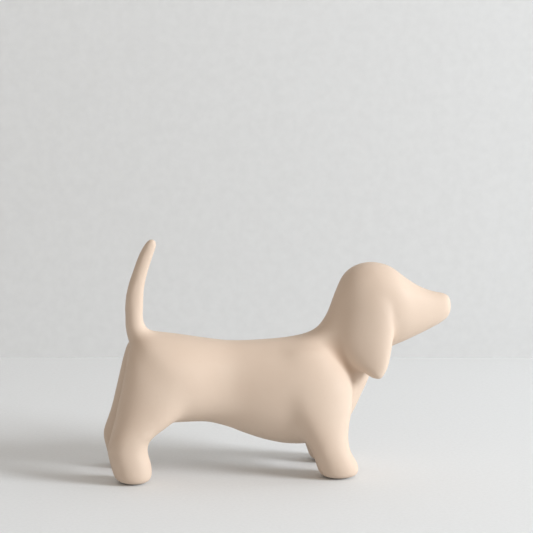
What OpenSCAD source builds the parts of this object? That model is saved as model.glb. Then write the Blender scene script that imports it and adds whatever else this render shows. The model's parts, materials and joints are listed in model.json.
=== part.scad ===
// Slip-cast ceramic dachshund, standing, about 200 mm long.
// Body, head, legs, tail and ears are cast as separate pieces and luted together with slip at flat joints.
// X runs from tail to nose, Y to the dog's left, Z up from the surface that it stands on.

/* [Casting] */
// Wall of the hollow castings
wall = 4; // [3:0.5:4.5]
// Bore of the vent that lets air out of the belly in the kiln
vent_bore = 5; // [3:0.5:8]
// Fullness of the ribs, where 2 is an ellipse and more is squarer
fullness = 2.2; // [2:0.05:2.6]

/* [Feet] */
// How far the hind feet stand out from the middle
hind_stance = 21; // [18:0.5:22]
// How far the fore feet stand out from the middle
fore_stance = 21; // [18:0.5:22]
// Diameter of the felt pad under each foot
pad_dia = 13; // [8:1:14]
// Thickness of the felt pad under each foot
pad_thick = 0.8; // [0.5:0.1:1.2]

/* [Smoothness] */
// Points around each rib
rib_points = 36; // [24:4:40]
// Steps between two ribs of the list
rib_steps = 2; // [1:1:3]

/* [Hidden] */
CLAY = [0.93, 0.85, 0.77];
FELT = [0.55, 0.52, 0.49];

// Every piece is lofted through ribs. A rib is an oval ring, listed as its two ends and its half width:
// [end x, end z, end x, end z, half width across Y].

// Rump, back, chest, neck, skull and snout: the first end is on the back line, the second on the belly line
SPINE = [
    [-83.5, 77, -82.5, 61, 5],
    [-84.6, 80.5, -82, 51, 11],
    [-83.4, 83.2, -81.2, 42, 17.2],
    [-78.5, 84.7, -78, 35, 23.4],
    [-68, 83.4, -67, 30.8, 26.6],
    [-55, 81.5, -54, 31, 25.2],
    [-41, 79.3, -41, 30.6, 21.6],
    [-28, 77.7, -28, 26.4, 20.2],
    [-13, 77.7, -13, 20.6, 22.4],
    [1, 78.4, 0, 17.2, 24.6],
    [13, 80, 12, 15.7, 25.4],
    [20.5, 83, 24, 16.8, 18],
    [25, 87.2, 34, 22, 13.2],
    [28, 92, 42.5, 31, 12.2],
    [30.2, 96.6, 47.8, 42, 12.4],
    [32.2, 102.3, 51.8, 51, 13.2],
    [34.6, 108.2, 55.3, 59.5, 14],
    [38, 114.9, 60.5, 67.6, 15.6],
    [44, 120, 66.5, 72.6, 16.8],
    [54, 122.5, 73, 75.2, 17],
    [65, 120, 79, 77.9, 15.4],
    [73, 114.2, 84.5, 80.3, 12.9],
    [81.2, 108.5, 89.5, 82.8, 10.6],
    [89.2, 105, 94, 85, 8.5],
    [95, 103.6, 97.4, 87.2, 6.9],
    [99.2, 102.6, 99.9, 89.4, 5.4],
    [101.2, 99.6, 101.2, 92, 3.2]];

// Tail, from inside the rump to the tip: back end, front end
TAIL = [
    [-82.5, 66, -65, 70, 10],
    [-86.4, 76, -68, 79, 9],
    [-88.6, 83, -74, 84, 7.4],
    [-89.2, 89, -78, 88.8, 5.9],
    [-89.1, 96, -78.8, 96, 5.2],
    [-88.7, 104, -78.6, 103.4, 4.9],
    [-87, 112, -78, 110.4, 4.5],
    [-84.6, 119, -76.6, 117, 4.2],
    [-82.1, 126, -74.5, 124, 4],
    [-79.6, 131.6, -72.4, 130, 3.7],
    [-77.4, 135.2, -71.1, 134, 3.2],
    [-75.7, 137.2, -70.9, 136.2, 2.4],
    [-74.2, 138.3, -72, 137.8, 1.1]];

// Legs and ears are listed with level ribs:
// [height, rear x, front x, distance of the middle from the stance line, half width across Y]
HIND_LEG = [
    [0, -92.4, -79.6, 0, 7.6],
    [0.8, -95, -77.6, 0, 9.6],
    [2.4, -97, -76.4, 0, 10.6],
    [6, -98.4, -75.9, 0, 11],
    [11, -99.8, -76.5, 0, 10.8],
    [18, -101.2, -78.3, 0, 10.6],
    [25, -100, -76, -0.6, 11],
    [31, -98.2, -66, -2.4, 11.6],
    [38, -96.2, -58.5, -4, 12],
    [47, -94, -51, -5.4, 12.2],
    [58, -91.6, -48, -6.6, 12],
    [69, -89.2, -52, -9.4, 11],
    [77, -87, -60, -14, 8]];

FORE_LEG = [
    [0, 25.2, 40.6, 0, 7.6],
    [0.8, 23, 42.8, 0, 9.6],
    [2.4, 21.4, 44, 0, 10.6],
    [6, 20, 43.9, 0, 11],
    [10, 18.6, 41.9, 0, 10.9],
    [15, 16.2, 39.4, 0, 10.7],
    [21, 13.4, 38.4, -0.4, 10.8],
    [28, 8.4, 39, -2, 11.4],
    [36, 3, 40.4, -4.4, 12.6],
    [46, -3, 41.8, -6.6, 13.4],
    [56, -6, 40, -8.6, 13],
    [65, -5, 34, -10.6, 12],
    [74, -1, 27, -13.4, 9.6]];

// Ear: [height, rear x, rear y, front x, front y, half thickness across Y]
EAR = [
    [117, 47, 5, 57, 6.5, 2.5],
    [113, 42, 5.6, 61, 9, 5],
    [106, 38, 5.6, 65, 11.4, 7.2],
    [97, 35, 5.6, 66, 12.8, 8.4],
    [87, 33, 5.6, 66, 13.4, 8.8],
    [78, 32.4, 6, 65, 14.4, 8.6],
    [70, 35, 7.4, 63.4, 16, 7.8],
    [64, 42, 11.6, 61.8, 17.4, 6],
    [60, 48, 15, 59.8, 18.2, 4.4],
    [57, 52.4, 17.4, 57.6, 18.8, 2.4]];

// Flat joints between the castings
// Neck joint: a point at the nape and a point on the breast, as [x, z]
NAPE = [24, 86.5];
BREAST = [52, 46];
// Height of the joint across the root of the tail
TAIL_JOINT = 88;
// Ear joint: where it starts behind the ear, and its distance from the middle
EAR_JOINT_X = 40.6;
EAR_JOINT_Y = 15.9;
// Leg joints: height at the middle line, and rise for each mm outwards
FORE_JOINT_Z = 8.4;
FORE_JOINT_RISE = 0.68;
HIND_JOINT_Z = 20;
HIND_JOINT_RISE = 0.7;
// Belly vent, from under the belly to inside the cavity
VENT_X = -29;
VENT_BOTTOM = 15;
VENT_TOP = 45;
// Larger than the whole dog
BIG = 400;

// ---- ribs and lofts ----

function bulge(c) = sign(c) * pow(abs(c), 2 / fullness);

// Ring of points between the ends a and b, with half width w across Y, drawn in by inset all round
function ring(a, b, w, inset) =
    let (middle = (a + b) / 2, half = (a - b) / 2, reach = half * (1 - inset / norm(half)))
    [for (i = [0 : rib_points - 1])
        let (turn = 360 * i / rib_points)
        middle + reach * bulge(cos(turn)) + [0, (w - inset) * bulge(sin(turn)), 0]];

// Smooth step through four neighbouring ribs
function between(p, q, r, s, t) =
    0.5 * (2 * q + (r - p) * t + (2 * p - 5 * q + 4 * r - s) * t * t
        + (3 * q - p - 3 * r + s) * t * t * t);

// The list with rib_steps steps from each rib to the next
function smoothed(ribs) =
    let (last = len(ribs) - 1)
    [for (i = [0 : last - 1], k = [0 : rib_steps - 1])
        between(ribs[max(i - 1, 0)], ribs[i], ribs[i + 1], ribs[min(i + 2, last)], k / rib_steps),
     ribs[last]];

// Upright rib of the spine or the tail
function upright_ring(r, inset) = ring([r[0], 0, r[1]], [r[2], 0, r[3]], r[4], inset);

// Level rib of a leg on the stance line y
function leg_ring(r, y, inset) =
    ring([r[1], y + r[3], r[0] + pad_thick], [r[2], y + r[3], r[0] + pad_thick], r[4], inset);

// Level rib of the left ear
function ear_ring(r) = ring([r[1], r[2], r[0]], [r[3], r[4], r[0]], r[5], 0);

// Middle of a ring, between its two ends
function centre(points) = (points[0] + points[rib_points / 2]) / 2;

// Solid through a list of rings. Each length has a blunt point that reaches into the one before it, so that
// the lengths overlap and join without a seam.
module loft(rings) {
    for (i = [0 : len(rings) - 2])
        let (here = centre(rings[i]), before = centre(rings[max(i - 1, 0)]),
             points = concat(rings[i], rings[i + 1], [here + (before - here) / 8]))
            hull()
                polyhedron(points, [[for (k = [0 : len(points) - 1]) k]]);
}

// ---- whole dog, before it is divided ----

module left_and_right() {
    children();
    mirror([0, 1, 0])
        children();
}

module outside() {
    loft([for (r = smoothed(SPINE)) upright_ring(r, 0)]);
    loft([for (r = smoothed(TAIL)) upright_ring(r, 0)]);
    left_and_right() {
        loft([for (r = smoothed(HIND_LEG)) leg_ring(r, hind_stance, 0)]);
        loft([for (r = smoothed(FORE_LEG)) leg_ring(r, fore_stance, 0)]);
        loft([for (r = smoothed(EAR)) ear_ring(r)]);
    }
}

// Hollow of the castings, which stops short of the rump, the snout and the soles
module cavity() {
    loft([for (i = [3 : 21]) upright_ring(SPINE[i], wall)]);
    left_and_right() {
        loft([for (i = [4 : len(HIND_LEG) - 1]) leg_ring(HIND_LEG[i], hind_stance, wall)]);
        loft([for (i = [4 : len(FORE_LEG) - 1]) leg_ring(FORE_LEG[i], fore_stance, wall)]);
    }
}

module vent() {
    translate([VENT_X, 0, VENT_BOTTOM])
        cylinder(h = VENT_TOP - VENT_BOTTOM, d = vent_bore, $fn = 32);
}

module dog() {
    difference() {
        outside();
        cavity();
        vent();
    }
}

// ---- sides of the joints ----

module front_of_neck_joint() {
    lean = atan2(NAPE.y - BREAST.y, BREAST.x - NAPE.x);
    translate([NAPE.x, 0, NAPE.y])
        rotate([0, lean, 0])
            translate([-BIG / 2, -BIG / 2, 0])
                cube(BIG);
}

module above_tail_joint() {
    translate([-BIG - 60, -BIG / 2, TAIL_JOINT])
        cube(BIG);
}

// Outside the left ear's joint, from behind the ear to in front of it
module outside_ear_joint() {
    translate([EAR_JOINT_X, EAR_JOINT_Y, 55])
        cube([35, 30, 70]);
}

// Under a left leg's joint, from x_rear to x_front
module under_leg_joint(x_rear, x_front, z_middle, rise) {
    inner = 5;
    outer = 45;
    translate([x_rear, 0, 0])
        rotate([90, 0, 90])
            linear_extrude(x_front - x_rear)
                polygon([[inner, -5], [outer, -5],
                         [outer, z_middle + rise * outer], [inner, z_middle + rise * inner]]);
}

module under_hind_joint() { under_leg_joint(-110, -40, HIND_JOINT_Z, HIND_JOINT_RISE); }
module under_fore_joint() { under_leg_joint(-5, 60, FORE_JOINT_Z, FORE_JOINT_RISE); }

// ---- castings ----

module cast() {
    color(CLAY)
        render()
            children();
}

module torso() {
    cast()
        difference() {
            dog();
            front_of_neck_joint();
            above_tail_joint();
            left_and_right() {
                under_hind_joint();
                under_fore_joint();
            }
        }
}

module head() {
    cast()
        difference() {
            intersection() {
                dog();
                front_of_neck_joint();
            }
            left_and_right()
                outside_ear_joint();
        }
}

module ear() {
    cast()
        intersection() {
            dog();
            outside_ear_joint();
        }
}

module tail() {
    cast()
        intersection() {
            dog();
            above_tail_joint();
        }
}

module leg_front() {
    cast()
        intersection() {
            dog();
            under_fore_joint();
        }
}

module leg_rear() {
    cast()
        intersection() {
            dog();
            under_hind_joint();
        }
}

// ---- felt pads ----

// Pad under the sole whose middle is at x, on the stance line y
module pad(x, y) {
    color(FELT)
        translate([x, y, 0])
            cylinder(h = pad_thick, d = pad_dia, $fn = 48);
}

// Middle of a sole between the ends of its lowest rib
function sole_x(leg) = (leg[0][1] + leg[0][2]) / 2;

module opposite() {
    mirror([0, 1, 0])
        children();
}

torso();
head();
ear();  // ear_left
opposite() ear();  // ear_right
tail();
leg_front();  // leg_front_left
opposite() leg_front();  // leg_front_right
leg_rear();  // leg_rear_left
opposite() leg_rear();  // leg_rear_right
pad(sole_x(FORE_LEG), fore_stance);  // pad_front_left
pad(sole_x(FORE_LEG), -fore_stance);  // pad_front_right
pad(sole_x(HIND_LEG), hind_stance);  // pad_rear_left
pad(sole_x(HIND_LEG), -hind_stance);  // pad_rear_right
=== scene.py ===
# %% [markdown]
# # A slip-cast ceramic dachshund
#
# The real figurine is a small studio ceramic. Liquid clay, called slip, is poured into plaster moulds and
# drained out again, which leaves hollow castings with an even wall. Body, head, legs, tail and ears leave
# their moulds as separate pieces. They are glued, or luted, with more slip, the joints are wiped flush
# with a damp sponge, and the dog is fired with a matt finish.
#
# The script follows that order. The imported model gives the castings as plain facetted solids. They are
# joined into one clay skin, the skin is sponged smooth, and then it is divided again at the same joints,
# so that every piece stays a closed solid of its own while no joint shows.

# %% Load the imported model
import json
import math

import bmesh
import bpy
import numpy as np
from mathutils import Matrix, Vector


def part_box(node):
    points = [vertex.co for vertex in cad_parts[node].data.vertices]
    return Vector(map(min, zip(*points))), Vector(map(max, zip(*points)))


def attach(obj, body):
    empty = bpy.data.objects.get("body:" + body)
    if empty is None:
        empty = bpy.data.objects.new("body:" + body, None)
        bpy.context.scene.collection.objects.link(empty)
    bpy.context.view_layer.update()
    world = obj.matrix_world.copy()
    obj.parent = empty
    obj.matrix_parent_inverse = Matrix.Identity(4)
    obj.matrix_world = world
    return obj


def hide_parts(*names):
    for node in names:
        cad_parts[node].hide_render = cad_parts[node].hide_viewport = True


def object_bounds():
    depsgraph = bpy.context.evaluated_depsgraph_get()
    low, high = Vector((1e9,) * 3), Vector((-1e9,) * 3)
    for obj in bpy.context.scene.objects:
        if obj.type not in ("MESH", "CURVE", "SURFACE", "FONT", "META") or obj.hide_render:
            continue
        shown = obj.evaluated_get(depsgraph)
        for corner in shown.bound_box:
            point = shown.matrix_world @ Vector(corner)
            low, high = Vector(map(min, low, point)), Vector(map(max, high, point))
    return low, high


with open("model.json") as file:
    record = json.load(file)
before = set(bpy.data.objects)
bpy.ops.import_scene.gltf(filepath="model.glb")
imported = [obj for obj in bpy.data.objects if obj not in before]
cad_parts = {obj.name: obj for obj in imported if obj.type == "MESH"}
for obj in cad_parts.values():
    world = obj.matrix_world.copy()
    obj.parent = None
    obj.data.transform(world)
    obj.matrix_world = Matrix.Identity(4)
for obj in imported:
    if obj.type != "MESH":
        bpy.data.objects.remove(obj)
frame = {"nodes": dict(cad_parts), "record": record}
cad_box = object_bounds()
scene = bpy.context.scene
MM = 0.001

length, width, height = [size / MM for size in cad_box[1] - cad_box[0]]
print(f"packed model: {len(frame['nodes'])} nodes, {length:.1f} x {width:.1f} x {height:.1f} mm")

# %% [markdown]
# ## Helpers
#
# Meshes are read and written as numpy arrays, which is far quicker than a loop over vertices. Every
# finished object sits at the world origin with its place in its mesh, so that patterns on Object
# coordinates keep their place.

# %% Small helpers
def points_of(mesh):
    flat = np.empty(len(mesh.vertices) * 3, np.float32)
    mesh.vertices.foreach_get("co", flat)
    return flat.reshape(-1, 3).astype(float)


def show(name, mesh):
    """A new object at the origin that holds a mesh."""
    piece = bpy.data.objects.new(name, mesh)
    scene.collection.objects.link(piece)
    return piece


def baked(piece):
    """The mesh that a piece's modifiers give, as a plain mesh."""
    bpy.context.view_layer.update()
    evaluated = piece.evaluated_get(bpy.context.evaluated_depsgraph_get())
    return bpy.data.meshes.new_from_object(evaluated)


def nodes_with(slot):
    return [part["node"] for part in frame["record"]["subparts"] if part["material_slot"] == slot]


CASTINGS = nodes_with("bisque")
PADS = nodes_with("felt")
print("castings:", ", ".join(CASTINGS))

# %% [markdown]
# ## Camera
#
# The dog is seen from its right side, a little from behind and from above. A long lens a metre and a half
# away draws it almost without perspective. The camera looks at a point above the back, which leaves the
# wall free over the dog.

# %% Camera
CAMERA_AZIMUTH = math.radians(-7)
CAMERA_ELEVATION = math.radians(14)
CAMERA_DISTANCE = 1.5
LOOKS_AT = Vector((-7 * MM, 0, 121 * MM))
LENS = 172.0


def toward(azimuth, elevation):
    """The direction from the dog to something that stands at an azimuth and an elevation."""
    return Vector((
        math.sin(azimuth) * math.cos(elevation),
        -math.cos(azimuth) * math.cos(elevation),
        math.sin(elevation)))


camera = bpy.data.objects.new("camera", bpy.data.cameras.new("camera"))
camera.data.lens = LENS
camera.location = toward(CAMERA_AZIMUTH, CAMERA_ELEVATION) * CAMERA_DISTANCE
camera.rotation_euler = (LOOKS_AT - camera.location).to_track_quat("-Z", "Y").to_euler()
scene.collection.objects.link(camera)
scene.camera = camera
print(f"camera: {LENS:.0f} mm lens, {CAMERA_DISTANCE} m away")

# %% [markdown]
# ## Where the castings join
#
# Two castings that meet share the corner points of their joint, because both were cut by the same flat
# joint. The shared points give the plane of the joint, by a least squares fit, and the box that it lies
# in. Nothing about a joint has to be typed in.

# %% Joints
JOINTS = [
    ("torso", "head"), ("torso", "tail"),
    ("torso", "leg_front_left"), ("torso", "leg_front_right"),
    ("torso", "leg_rear_left"), ("torso", "leg_rear_right"),
    ("head", "ear_left"), ("head", "ear_right")]
SAME_POINT = 0.02 * MM
NEAR_CASTING = 1 * MM


def shared_points(first, second):
    def keys(node):
        return {tuple(p) for p in np.round(points_of(frame["nodes"][node].data) / SAME_POINT).astype(int)}
    return np.array(sorted(keys(first) & keys(second))) * SAME_POINT


def joint_between(first, second):
    """The plane of a joint, its normal pointing from the first casting to the second, and its box."""
    points = shared_points(first, second)
    middle = points.mean(0)
    normal = np.linalg.svd(points - middle)[2][2]
    away = points_of(frame["nodes"][second].data).mean(0) - middle
    return {
        "from": first, "to": second, "middle": middle, "points": points,
        "normal": normal * np.sign(normal @ away),
        "low": points.min(0), "high": points.max(0)}


joints = [joint_between(*pair) for pair in JOINTS]
for joint in joints:
    flat = np.abs((joint["points"] - joint["middle"]) @ joint["normal"]).max() / MM
    print(f"{joint['from']} to {joint['to']}: {len(joint['points'])} shared points, flat to {flat:.4f} mm")


def in_box(points, low, high, margin):
    return ((points > low - margin) & (points < high + margin)).all(1)


def beyond(points, joint):
    """Which points lie on the second casting's side of a joint, near that casting."""
    low, high = [np.array(corner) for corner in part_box(joint["to"])]
    return in_box(points, low, high, NEAR_CASTING) & ((points - joint["middle"]) @ joint["normal"] > 0)


# %% [markdown]
# ## One clay skin
#
# The castings are copied into one mesh and welded, and the two flat faces inside every joint are taken
# out. What is left is the skin of the whole dog, outside and inside, with the kiln vent under the belly
# joining the two. A voxel remesh then gives it small even faces, because the long thin triangles of the
# castings can't be smoothed. A subdivision surface would need a cage drawn by hand; the remesh takes the
# shape from the castings as it is.

# %% Weld the castings into one skin
GRAIN = 0.84 * MM
PARALLEL = 0.999


def welded_castings():
    clay = bmesh.new()
    for node in CASTINGS:
        clay.from_mesh(frame["nodes"][node].data)
    bmesh.ops.remove_doubles(clay, verts=clay.verts, dist=SAME_POINT)
    inside = []
    for face in clay.faces:
        middle = np.array(face.calc_center_median())
        for joint in joints:
            off = abs((middle - joint["middle"]) @ joint["normal"])
            square = abs(np.array(face.normal) @ joint["normal"])
            near = in_box(middle[None], joint["low"], joint["high"], SAME_POINT)[0]
            if off < SAME_POINT and square > PARALLEL and near:
                inside.append(face)
                break
    bmesh.ops.delete(clay, geom=inside, context="FACES")
    open_edges = sum(1 for edge in clay.edges if len(edge.link_faces) != 2)
    print(f"welded skin: {len(clay.faces)} faces, {len(inside)} taken out of joints, {open_edges} open edges")
    mesh = bpy.data.meshes.new("clay")
    clay.to_mesh(mesh)
    clay.free()
    return mesh


clay = show("clay", welded_castings())
remesh = clay.modifiers.new("grain", "REMESH")
remesh.mode = "VOXEL"
remesh.voxel_size = GRAIN
clay.data = baked(clay)
clay.modifiers.clear()
print(f"remeshed skin: {len(clay.data.polygons)} faces of {GRAIN / MM:.2f} mm")

# %% [markdown]
# ## Sponging the skin
#
# A potter wipes the leather-hard dog with a damp sponge, which rounds every edge and fills the creases
# with a little slip. Geometry Nodes do the same: Blur Attribute evens out the positions of neighbouring
# points. One blur alone would shrink the dog, so the result is twice the first blur less the second,
# which evens out the small facets and leaves the large forms at their size.
#
# How hard each place is wiped is an attribute, in millimetres of evenness. The body is wiped most, the
# thin ears and the tail least, and the seams round the legs and the tail are filled well. The narrow
# cleft between the haunches is hardly wiped, so that it stays open. The tree also stores how deep in a
# crease each point lies, which the clay's colour uses later for painted shade in the creases.

# %% Geometry Nodes helpers
def new_tree(name):
    tree = bpy.data.node_groups.new(name, "GeometryNodeTree")
    tree.interface.new_socket("Geometry", in_out="INPUT", socket_type="NodeSocketGeometry")
    tree.interface.new_socket("Geometry", in_out="OUTPUT", socket_type="NodeSocketGeometry")
    tree.nodes.new("NodeGroupInput")
    tree.nodes.new("NodeGroupOutput")
    return tree


def new_input(tree, name, kind, value):
    """Adds a named input to a tree and returns the socket that gives its value."""
    item = tree.interface.new_socket(name, in_out="INPUT", socket_type="NodeSocket" + kind)
    item.default_value = value
    return tree.nodes["Group Input"].outputs[name]


def add(tree, kind, settings=(), **inputs):
    """Adds a node. Settings are its own properties; inputs are values or the sockets that feed them.

    An input is named with _ for a space, or by its number, as in _3.
    """
    node = tree.nodes.new(kind)
    for name, value in dict(settings).items():
        setattr(node, name, value)
    for name, value in inputs.items():
        key = int(name[1:]) if name[1:].isdigit() else name.replace("_", " ")
        if isinstance(value, bpy.types.NodeSocket):
            tree.links.new(value, node.inputs[key])
        else:
            node.inputs[key].default_value = value
    return node


def run_tree(piece, tree, **values):
    """The plain mesh that a tree makes of a piece."""
    modifier = piece.modifiers.new(tree.name, "NODES")
    modifier.node_group = tree
    for item in tree.interface.items_tree:
        if item.in_out == "INPUT" and item.name in values:
            modifier[item.identifier] = values[item.name]
    mesh = baked(piece)
    piece.modifiers.remove(modifier)
    return mesh


# %% [markdown]
# ## The sponge as a node tree
#
# Evenness is a distance, and a blur's reach grows with the square root of its passes. So the share of the
# full blur that a point gets is the square of its evenness over the full evenness. Blur Attribute moves a
# point towards its four neighbours by 4w / (1 + 4w) of the way, where w is its weight, and that is 0.8 at
# a weight of 1. The weight share / (5 - 4 share) gives the point exactly its share of that.

# %% Sponge tree
PASSES = 160
MARGIN_PASSES = 16
# What a pass at a weight of 1 adds to the square of the blur's reach, in faces
SPREAD_PER_PASS = 0.4
CREASE_PASSES = 40
SHALLOW_CREASE = 0.1 * MM
DEEP_CREASE = 0.8 * MM
VECTOR = {"data_type": "FLOAT_VECTOR"}


def blurred(tree, value, passes, settings=(), **weight):
    blur = add(tree, "GeometryNodeBlurAttribute", settings, Value=value, Iterations=passes, **weight)
    return blur.outputs["Value"]


def blur_weight(tree):
    """The weight that gives each point its evenness, which fades in over the margin passes."""
    margin = new_input(tree, "Margin passes", "Int", MARGIN_PASSES)
    full = new_input(tree, "Full evenness", "Float", 4.0)
    wiped = add(tree, "GeometryNodeInputNamedAttribute", Name="evenness").outputs["Attribute"]
    wiped = blurred(tree, wiped, margin)
    ratio = add(tree, "ShaderNodeMath", {"operation": "DIVIDE"}, _0=wiped, _1=full).outputs[0]
    square = {"operation": "POWER", "use_clamp": True}
    share = add(tree, "ShaderNodeMath", square, _0=ratio, _1=2.0).outputs[0]
    below = add(tree, "ShaderNodeMath", {"operation": "MULTIPLY_ADD"}, _0=share, _1=-4.0, _2=5.0).outputs[0]
    return add(tree, "ShaderNodeMath", {"operation": "DIVIDE"}, _0=share, _1=below).outputs[0]


def crease_depth(tree):
    """From 0 to 1, how far a point lies under the average of the skin around it."""
    place = add(tree, "GeometryNodeInputPosition").outputs[0]
    around = blurred(tree, place, CREASE_PASSES, VECTOR)
    sunk = add(tree, "ShaderNodeVectorMath", {"operation": "SUBTRACT"}, _0=around, _1=place).outputs[0]
    normal = add(tree, "GeometryNodeInputNormal").outputs[0]
    depth = add(tree, "ShaderNodeVectorMath", {"operation": "DOT_PRODUCT"}, _0=sunk, _1=normal)
    return add(
        tree, "ShaderNodeMapRange", Value=depth.outputs["Value"],
        _1=SHALLOW_CREASE, _2=DEEP_CREASE).outputs[0]


def sponge_tree():
    tree = new_tree("sponge")
    skin = tree.nodes["Group Input"].outputs["Geometry"]
    passes = new_input(tree, "Passes", "Int", PASSES)
    weight = blur_weight(tree)
    place = add(tree, "GeometryNodeInputPosition").outputs[0]
    once = blurred(tree, place, passes, VECTOR, Weight=weight)
    twice = blurred(tree, once, passes, VECTOR, Weight=weight)
    double = add(tree, "ShaderNodeVectorMath", {"operation": "SCALE"}, _0=once, Scale=2.0).outputs[0]
    even = add(tree, "ShaderNodeVectorMath", {"operation": "SUBTRACT"}, _0=double, _1=twice).outputs[0]
    skin = add(tree, "GeometryNodeSetPosition", Geometry=skin, Position=even).outputs[0]
    skin = add(
        tree, "GeometryNodeStoreNamedAttribute", {"data_type": "FLOAT"},
        Geometry=skin, Name="crease", Value=crease_depth(tree)).outputs[0]
    tree.links.new(skin, tree.nodes["Group Output"].inputs[0])
    return tree


SPONGE = sponge_tree()
print("sponge tree:", len(SPONGE.nodes), "nodes")

# %% How hard each casting is wiped
EVENNESS = {"torso": 4.5, "head": 3.0, "ear": 1.8, "tail": 1.8, "leg": 2.4}
SEAM_EVENNESS = {"leg": 6.5, "tail": 5.0, "head": 3.5}
SEAM_REACH = 9 * MM
EAR_TOP = 100 * MM
EAR_FADE = 10 * MM
CLEFT_LOW = np.array([-110, -9, 36]) * MM
CLEFT_HIGH = np.array([-78, 9, 76]) * MM
CLEFT_EVENNESS = 1.6


def kind_of(name):
    """What a casting is, such as leg for leg_front_left."""
    return name.split("_")[0]


def casting_of(points):
    """The casting that each point belongs to, as an index into CASTINGS."""
    owner = np.full(len(points), CASTINGS.index("torso"))
    for joint in joints:
        owner[beyond(points, joint)] = CASTINGS.index(joint["to"])
    return owner


def seam_of(points, joint):
    """Which points lie near a joint."""
    gap = np.abs((points - joint["middle"]) @ joint["normal"])
    return in_box(points, joint["low"], joint["high"], SEAM_REACH) & (gap < SEAM_REACH)


def evenness_of(points):
    kinds = np.array([kind_of(name) for name in CASTINGS])[casting_of(points)]
    wiped = np.array([EVENNESS[kind] for kind in kinds])
    for joint in joints:
        kind = kind_of(joint["to"])
        if kind in SEAM_EVENNESS:
            seam = seam_of(points, joint)
            wiped[seam] = np.maximum(wiped[seam], SEAM_EVENNESS[kind])
    wiped[in_box(points, CLEFT_LOW, CLEFT_HIGH, 0)] = CLEFT_EVENNESS
    ear_top = np.clip((points[:, 2] - EAR_TOP) / EAR_FADE, 0, 1)
    return np.where(kinds == "ear", wiped + ear_top * (EVENNESS["head"] - EVENNESS["ear"]), wiped)


full_evenness = math.sqrt(PASSES * SPREAD_PER_PASS) * GRAIN / MM
layer = clay.data.attributes.new("evenness", "FLOAT", "POINT")
layer.data.foreach_set("value", evenness_of(points_of(clay.data)).astype(np.float32))
clay.data = run_tree(clay, SPONGE, **{"Full evenness": full_evenness})
low, high = points_of(clay.data).min(0) / MM, points_of(clay.data).max(0) / MM
print(f"sponged skin: x {low[0]:.1f} to {high[0]:.1f}, z {low[2]:.1f} to {high[2]:.1f} mm")

# %% [markdown]
# ## Dividing the skin into its castings
#
# The smooth skin is cut again at the same flat joints, and each opening that this leaves is closed with a
# flat face, so every casting is a closed hollow solid that touches its neighbour face to face. The
# normals of the undivided skin are kept on the pieces. The shading then runs over a joint without a line,
# as it does on the fired dog, where the slip has filled the seam.

# %% Cut at the joints
CUT_REACH = 2 * MM


def near_joint(vert, joint):
    low, high = joint["low"] - CUT_REACH, joint["high"] + CUT_REACH
    return all(a < c < b for a, c, b in zip(low, vert.co, high))


def cut_skin(mesh):
    """The skin with an edge loop on every joint, and the undivided skin's normals as an attribute."""
    skin = bmesh.new()
    skin.from_mesh(mesh)
    kept = skin.verts.layers.float_vector.new("skin_normal")
    for vert in skin.verts:
        vert[kept] = vert.normal
    for joint in joints:
        near = [vert for vert in skin.verts if near_joint(vert, joint)]
        faces = {face for vert in near for face in vert.link_faces}
        edges = {edge for face in faces for edge in face.edges}
        verts = {vert for face in faces for vert in face.verts}
        bmesh.ops.bisect_plane(
            skin, geom=list(faces) + list(edges) + list(verts), dist=SAME_POINT,
            plane_co=joint["middle"], plane_no=joint["normal"])
    cut = bpy.data.meshes.new("cut_skin")
    skin.to_mesh(cut)
    skin.free()
    return cut


clay.data = cut_skin(clay.data)
centres = np.empty(len(clay.data.polygons) * 3, np.float32)
clay.data.polygons.foreach_get("center", centres)
owners = casting_of(centres.reshape(-1, 3).astype(float))
print("skin faces:", {name: int((owners == index).sum()) for index, name in enumerate(CASTINGS)})

# %% Close each casting
def close_joint(piece, joint, outward):
    """Fills a piece's opening at a joint with flat faces, and gives them back."""
    rim = [
        edge for edge in piece.edges
        if len(edge.link_faces) == 1 and all(near_joint(vert, joint) for vert in edge.verts)]
    filled = bmesh.ops.triangle_fill(piece, edges=rim, use_beauty=True, normal=outward)["geom"]
    faces = [item for item in filled if isinstance(item, bmesh.types.BMFace)]
    for face in faces:
        face.normal_update()
        if face.normal @ outward < 0:
            face.normal_flip()
    return faces


def casting_mesh(name):
    """One casting out of the skin, with flat faces over each opening, shaded as the undivided skin."""
    piece = bmesh.new()
    piece.from_mesh(clay.data)
    piece.faces.ensure_lookup_table()
    others = [face for face, owner in zip(piece.faces, owners) if CASTINGS[owner] != name]
    bmesh.ops.delete(piece, geom=others, context="FACES")
    flats = set()
    for joint in joints:
        if name == joint["from"]:
            flats.update(close_joint(piece, joint, Vector(joint["normal"])))
        if name == joint["to"]:
            flats.update(close_joint(piece, joint, -Vector(joint["normal"])))
    open_edges = sum(1 for edge in piece.edges if len(edge.link_faces) != 2)
    for face in piece.faces:
        face.smooth = face not in flats
    kept = piece.verts.layers.float_vector["skin_normal"]
    normals = [
        vert[kept].normalized() if face.smooth else face.normal
        for face in piece.faces for vert in face.verts]
    mesh = bpy.data.meshes.new(name)
    piece.to_mesh(mesh)
    mesh.normals_split_custom_set([tuple(normal) for normal in normals])
    print(f"{name}: {len(mesh.polygons)} faces, {len(flats)} on joints, {open_edges} open edges")
    piece.free()
    return mesh


castings = {name: show(name + "_casting", casting_mesh(name)) for name in CASTINGS}
bpy.data.objects.remove(clay)
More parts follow.
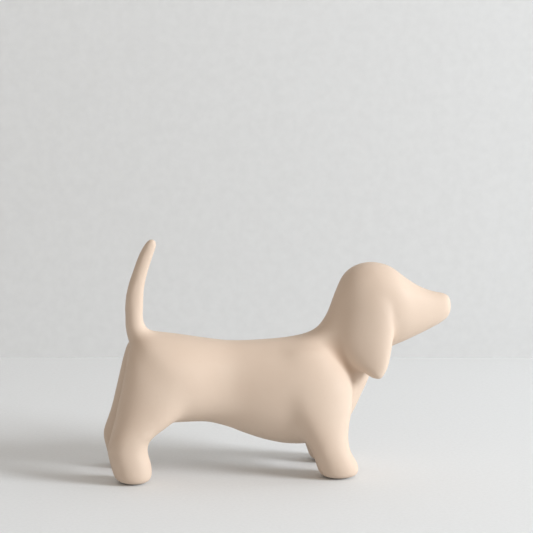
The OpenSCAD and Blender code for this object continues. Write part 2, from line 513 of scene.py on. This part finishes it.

# %% [markdown]
# ## The fired clay
#
# Unglazed porcelain bisque is matt and pale, warmed here to a peach tone. Its colour hardly varies:
# broad, faint clouds where the clay dried unevenly, and fine grains. Close up it has the tooth of fine
# sandpaper and slight waves left by the sponge, so the bump has three sizes. All patterns read Object
# coordinates, which run on from one casting to the next without a break.
#
# The crease attribute darkens the clay in the creases with painted shade, together with slip that collects
# there and stays a little darker. The soles, which stood on the kiln shelf, are bare and greyer.

# %% Node helpers for materials
def new_material(name):
    material = bpy.data.materials.new(name)
    material.use_nodes = True
    material.node_tree.nodes.clear()
    output = material.node_tree.nodes.new("ShaderNodeOutputMaterial")
    shader = material.node_tree.nodes.new("ShaderNodeBsdfPrincipled")
    material.node_tree.links.new(shader.outputs[0], output.inputs[0])
    return material, material.node_tree, shader


def noise(tree, size, detail=2.0, roughness=0.5):
    """Noise on Object coordinates, whose clouds are about as large as size."""
    place = add(tree, "ShaderNodeTexCoord").outputs["Object"]
    return add(
        tree, "ShaderNodeTexNoise", Vector=place,
        Scale=1 / size, Detail=detail, Roughness=roughness).outputs[0]


def between(tree, value, from_low, from_high, low, high):
    """The value stretched from one range to another, and kept inside it."""
    return add(
        tree, "ShaderNodeMapRange", Value=value,
        _1=from_low, _2=from_high, _3=low, _4=high).outputs[0]


def tinted(tree, color, factor, other):
    """A colour mixed towards another by a factor."""
    if not isinstance(color, bpy.types.NodeSocket):
        color = (*color, 1)
    return add(tree, "ShaderNodeMix", {"data_type": "RGBA"}, _0=factor, _6=color, _7=(*other, 1)).outputs[2]


def bumps(tree, reliefs):
    """A normal from reliefs, each given as its forms' size, their detail and roughness, and its depth."""
    normal = None
    for size, detail, roughness, depth in reliefs:
        height = noise(tree, size, detail, roughness)
        bump = add(tree, "ShaderNodeBump", Height=height, Strength=1.0, Distance=depth)
        if normal:
            tree.links.new(normal, bump.inputs["Normal"])
        normal = bump.outputs[0]
    return normal


# %% Bisque
CLAY = (0.64, 0.52, 0.42)
CLOUD = (0.625, 0.50, 0.40)
# Painted shade in the creases, with the darker slip that collects there
SLIP_AND_CREASE_SHADE = (0.50, 0.36, 0.26)
GRAINS = (0.53, 0.41, 0.32)
BARE = (0.55, 0.47, 0.40)
CLOUD_SIZE = 28 * MM
GRAIN_SIZE = 0.9 * MM
DRY_SIZE = 6 * MM
SOLE_BELOW, SOLE_FADES = 0.9 * MM, 1.3 * MM
SPONGE_WAVES = (11 * MM, 1.0, 0.5, 0.10 * MM)
GRIT = (1.4 * MM, 2.0, 0.5, 0.02 * MM)
TOOTH = (0.35 * MM, 2.0, 0.5, 0.012 * MM)


def bisque():
    material, tree, shader = new_material("bisque")
    clouds = between(tree, noise(tree, CLOUD_SIZE, 3.0), 0.35, 0.7, 0.0, 1.0)
    grains = between(tree, noise(tree, GRAIN_SIZE, 2.0), 0.66, 0.78, 0.0, 0.35)
    crease = add(tree, "ShaderNodeAttribute", {"attribute_name": "crease"}).outputs["Fac"]
    place = add(tree, "ShaderNodeTexCoord").outputs["Object"]
    height = add(tree, "ShaderNodeSeparateXYZ", Vector=place).outputs["Z"]
    sole = between(tree, height, SOLE_BELOW, SOLE_FADES, 1.0, 0.0)
    color = tinted(tree, CLAY, clouds, CLOUD)
    # Painted shade: the clay is darkened in the creases, along with slip that collects there
    color = tinted(tree, color, crease, SLIP_AND_CREASE_SHADE)
    color = tinted(tree, color, grains, GRAINS)
    color = tinted(tree, color, sole, BARE)
    tree.links.new(color, shader.inputs["Base Color"])
    dry = between(tree, noise(tree, DRY_SIZE, 3.0), 0.3, 0.7, 0.58, 0.72)
    tree.links.new(dry, shader.inputs["Roughness"])
    shader.inputs["Specular IOR Level"].default_value = 0.35
    tree.links.new(bumps(tree, [SPONGE_WAVES, GRIT, TOOTH]), shader.inputs["Normal"])
    return material


BISQUE = bisque()
print("material:", BISQUE.name, len(BISQUE.node_tree.nodes), "nodes")

# %% Give the castings their finish
for node, piece in castings.items():
    piece.data.materials.clear()
    piece.data.materials.append(BISQUE)
    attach(piece, "root")
    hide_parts(node)
print(f"{len(castings)} castings in bisque")

# %% [markdown]
# ## Felt pads
#
# A stick-on felt pad keeps each foot from scratching the shelf. It is punched from a sheet, so it has a
# straight rim with a crushed lower edge, a slightly dished top and loose fibres all round. A cylinder
# with a bevel would give the disc too, but a profile turned in code also gives the crushed edge and the
# slightly ragged rim.

# %% Felt disc
FELT_TURNS = 72
# From the middle of the underside, out over the rim, to the middle of the top: shares of radius and thickness
FELT_PROFILE = [
    (0.0, 0.03), (0.45, 0.03), (0.8, 0.02), (0.93, 0.04), (0.975, 0.14), (0.985, 0.35), (0.98, 0.6),
    (0.97, 0.82), (0.94, 0.93), (0.88, 0.98), (0.7, 0.97), (0.4, 0.95), (0.0, 0.95)]
LONG_WAVE, SHORT_WAVE = 0.006, 0.004


def felt_disc(node):
    """The disc of a pad, closed, from a profile turned about its middle."""
    low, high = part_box(node)
    middle = (low + high) / 2
    radius, thick = (high.x - low.x) / 2, high.z - low.z
    disc = bmesh.new()
    rings = []
    for reach, rise in FELT_PROFILE[1:-1]:
        ring = []
        for step in range(FELT_TURNS):
            turn = math.tau * step / FELT_TURNS
            ragged = 1 + LONG_WAVE * math.sin(7 * turn + 9 * rise) + SHORT_WAVE * math.sin(17 * turn)
            out = radius * reach * ragged
            place = (middle.x + out * math.cos(turn), middle.y + out * math.sin(turn), low.z + rise * thick)
            ring.append(disc.verts.new(place))
        rings.append(ring)
    for lower, upper in zip(rings, rings[1:]):
        for step in range(FELT_TURNS):
            after = (step + 1) % FELT_TURNS
            disc.faces.new((lower[step], lower[after], upper[after], upper[step]))
    for ring, (_, rise), way in ((rings[0], FELT_PROFILE[0], -1), (rings[-1], FELT_PROFILE[-1], 1)):
        pole = disc.verts.new((middle.x, middle.y, low.z + rise * thick))
        for step in range(FELT_TURNS):
            disc.faces.new((ring[step], ring[(step + 1) % FELT_TURNS], pole)[::way])
    for face in disc.faces:
        face.smooth = True
    mesh = bpy.data.meshes.new(node)
    disc.to_mesh(mesh)
    disc.free()
    return mesh


# %% [markdown]
# ## Fibres of the felt
#
# Felt is a mat of short wool fibres, and some stand off its surface. A hair system would draw them too,
# but Geometry Nodes give a plain mesh that stays in the model: points are scattered over the disc by a
# seed, and a short bent hair is set on each, turned and sized at random.

# %% Fibre tree
def fibre_tree(felt):
    tree = new_tree("felt_fibres")
    disc = tree.nodes["Group Input"].outputs["Geometry"]
    amount = new_input(tree, "Fibres per square metre", "Float", 1.6e6)
    reach = new_input(tree, "Fibre length", "Float", 0.55 * MM)
    slim = new_input(tree, "Thickness over length", "Float", 0.03)
    seed = new_input(tree, "Seed", "Int", 1)
    spots = add(tree, "GeometryNodeDistributePointsOnFaces", Mesh=disc, Density=amount, Seed=seed)
    line = add(
        tree, "GeometryNodeCurveQuadraticBezier", Resolution=3,
        Start=(0, 0, -0.1), Middle=(0.1, 0.1, 0.3), End=(0.75, 0.2, 0.35)).outputs[0]
    outline = add(tree, "GeometryNodeCurvePrimitiveCircle", Resolution=3, Radius=slim).outputs[0]
    hair = add(tree, "GeometryNodeCurveToMesh", Curve=line, Profile_Curve=outline, Fill_Caps=True).outputs[0]
    size = add(tree, "FunctionNodeRandomValue", {"data_type": "FLOAT"}, _2=0.5, _3=1.0, Seed=seed).outputs[1]
    size = add(tree, "ShaderNodeMath", {"operation": "MULTIPLY"}, _0=size, _1=reach).outputs[0]
    spin = add(
        tree, "FunctionNodeRandomValue", {"data_type": "FLOAT"}, _2=0.0, _3=math.tau, Seed=seed).outputs[1]
    about = add(tree, "ShaderNodeCombineXYZ", Z=spin).outputs[0]
    turned = add(
        tree, "FunctionNodeRotateRotation", {"rotation_space": "LOCAL"},
        Rotation=spots.outputs["Rotation"], Rotate_By=about).outputs[0]
    hairs = add(
        tree, "GeometryNodeInstanceOnPoints", Points=spots.outputs["Points"],
        Instance=hair, Rotation=turned, Scale=size).outputs[0]
    hairs = add(tree, "GeometryNodeRealizeInstances", Geometry=hairs).outputs[0]
    whole = tree.nodes.new("GeometryNodeJoinGeometry")
    tree.links.new(hairs, whole.inputs[0])
    tree.links.new(disc, whole.inputs[0])
    felted = add(tree, "GeometryNodeSetMaterial", Geometry=whole.outputs[0], Material=felt)
    tree.links.new(felted.outputs[0], tree.nodes["Group Output"].inputs[0])
    return tree


# %% [markdown]
# ## Colour of the felt
#
# The wool is a warm grey, darker where it is pressed and lighter where it is loose, which one noise
# gives. It has no shine, only the soft sheen of cloth seen along its surface.

# %% Felt
FELT = (0.30, 0.27, 0.245)
FELT_LIGHT = (0.44, 0.41, 0.38)
MATTED_SIZE = 1.2 * MM
FELT_LOFT = (0.5 * MM, 3.0, 0.7, 0.08 * MM)


def felt():
    material, tree, shader = new_material("felt")
    matted = between(tree, noise(tree, MATTED_SIZE, 4.0, 0.7), 0.3, 0.7, 0.0, 1.0)
    tree.links.new(tinted(tree, FELT, matted, FELT_LIGHT), shader.inputs["Base Color"])
    shader.inputs["Roughness"].default_value = 0.95
    shader.inputs["Sheen Weight"].default_value = 0.4
    shader.inputs["Sheen Roughness"].default_value = 0.5
    tree.links.new(bumps(tree, [FELT_LOFT]), shader.inputs["Normal"])
    return material


# %% Make the pads
FIBRES = fibre_tree(felt())
print("fibre tree:", len(FIBRES.nodes), "nodes")
for seed, node in enumerate(PADS, start=1):
    pad = show(node + "_felt", felt_disc(node))
    pad.data = run_tree(pad, FIBRES, Seed=seed)
    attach(pad, "root")
    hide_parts(node)
    print(f"{pad.name}: {len(pad.data.polygons)} faces")

# %% [markdown]
# ## Shelf and wall
#
# The dog stands on a pale matt shelf with a plain wall behind it, square to the camera. Each is one large
# flat sheet, mottled a little by noise. The wall shows only its front, so that the dog can be seen from
# behind as well: a sheet has two sides, and the back one gets a clear shader.

# %% Shelf and wall
WALL_BEHIND = 0.33
SHEET_REACH = 3.0
SHELF = (0.765, 0.785, 0.795)
WALL = (0.70, 0.715, 0.72)
SHELF_MOTTLE = 2 * MM
WALL_MOTTLE = 6 * MM


def stage_sheet(name, corners, color, mottle):
    mesh = bpy.data.meshes.new(name)
    mesh.from_pydata([tuple(corner) for corner in corners], [], [(0, 1, 2, 3)])
    sheet = show(name, mesh)
    material, tree, shader = new_material(name)
    speck = between(tree, noise(tree, mottle, 3.0), 0.3, 0.7, 0.96, 1.0)
    shade = add(tree, "ShaderNodeVectorMath", {"operation": "SCALE"}, _0=color, Scale=speck).outputs[0]
    tree.links.new(shade, shader.inputs["Base Color"])
    shader.inputs["Roughness"].default_value = 0.8
    shader.inputs["Specular IOR Level"].default_value = 0.2
    mesh.materials.append(material)
    return tree, shader


def front_only(tree, shader):
    """Makes the back of a sheet clear."""
    back = add(tree, "ShaderNodeNewGeometry").outputs["Backfacing"]
    clear = add(tree, "ShaderNodeBsdfTransparent").outputs[0]
    either = add(tree, "ShaderNodeMixShader", _0=back, _1=shader.outputs[0], _2=clear).outputs[0]
    tree.links.new(either, tree.nodes["Material Output"].inputs[0])


near = toward(CAMERA_AZIMUTH, 0) * SHEET_REACH
side = Vector((-near.y, near.x, 0))
foot = toward(CAMERA_AZIMUTH, 0) * -WALL_BEHIND
top = Vector((0, 0, SHEET_REACH))
stage_sheet("shelf", [side - near, -side - near, near - side, near + side], SHELF, SHELF_MOTTLE)
wall_corners = [foot - side, foot + side, foot + side + top, foot - side + top]
front_only(*stage_sheet("wall", wall_corners, WALL, WALL_MOTTLE))
print(f"wall: {WALL_BEHIND} m behind the dog")

# %% [markdown]
# ## Light
#
# One large soft lamp stands on the right, a little in front of the dog and rather low, like a window. Its
# disc is wide, so the shadows have soft edges. The room gives the rest of the light, a little warmer than
# the lamp, which keeps the shadows light.

# %% Lamp and room
KEY_AZIMUTH = math.radians(63)
KEY_ELEVATION = math.radians(22)
KEY_DISTANCE = 3.0
KEY_SIZE = 1.2
KEY_POWER = 91.0
KEY_COLOR = (0.965, 1.0, 1.04)
ROOM_COLOR = (1.0, 0.89, 0.79)
ROOM_STRENGTH = 0.53

light = bpy.data.lights.new("key", "AREA")
light.shape = "DISK"
light.size = KEY_SIZE
light.energy = KEY_POWER
light.color = KEY_COLOR
key = bpy.data.objects.new("key", light)
key.location = toward(KEY_AZIMUTH, KEY_ELEVATION) * KEY_DISTANCE
key.rotation_euler = (-key.location).to_track_quat("-Z", "Y").to_euler()
scene.collection.objects.link(key)

room = bpy.data.worlds.new("room")
room.use_nodes = True
background = room.node_tree.nodes["Background"]
background.inputs["Color"].default_value = (*ROOM_COLOR, 1)
background.inputs["Strength"].default_value = ROOM_STRENGTH
scene.world = room
scene.view_settings.view_transform = "Standard"
print(f"key lamp: {KEY_POWER:.0f} W, {KEY_DISTANCE} m away")
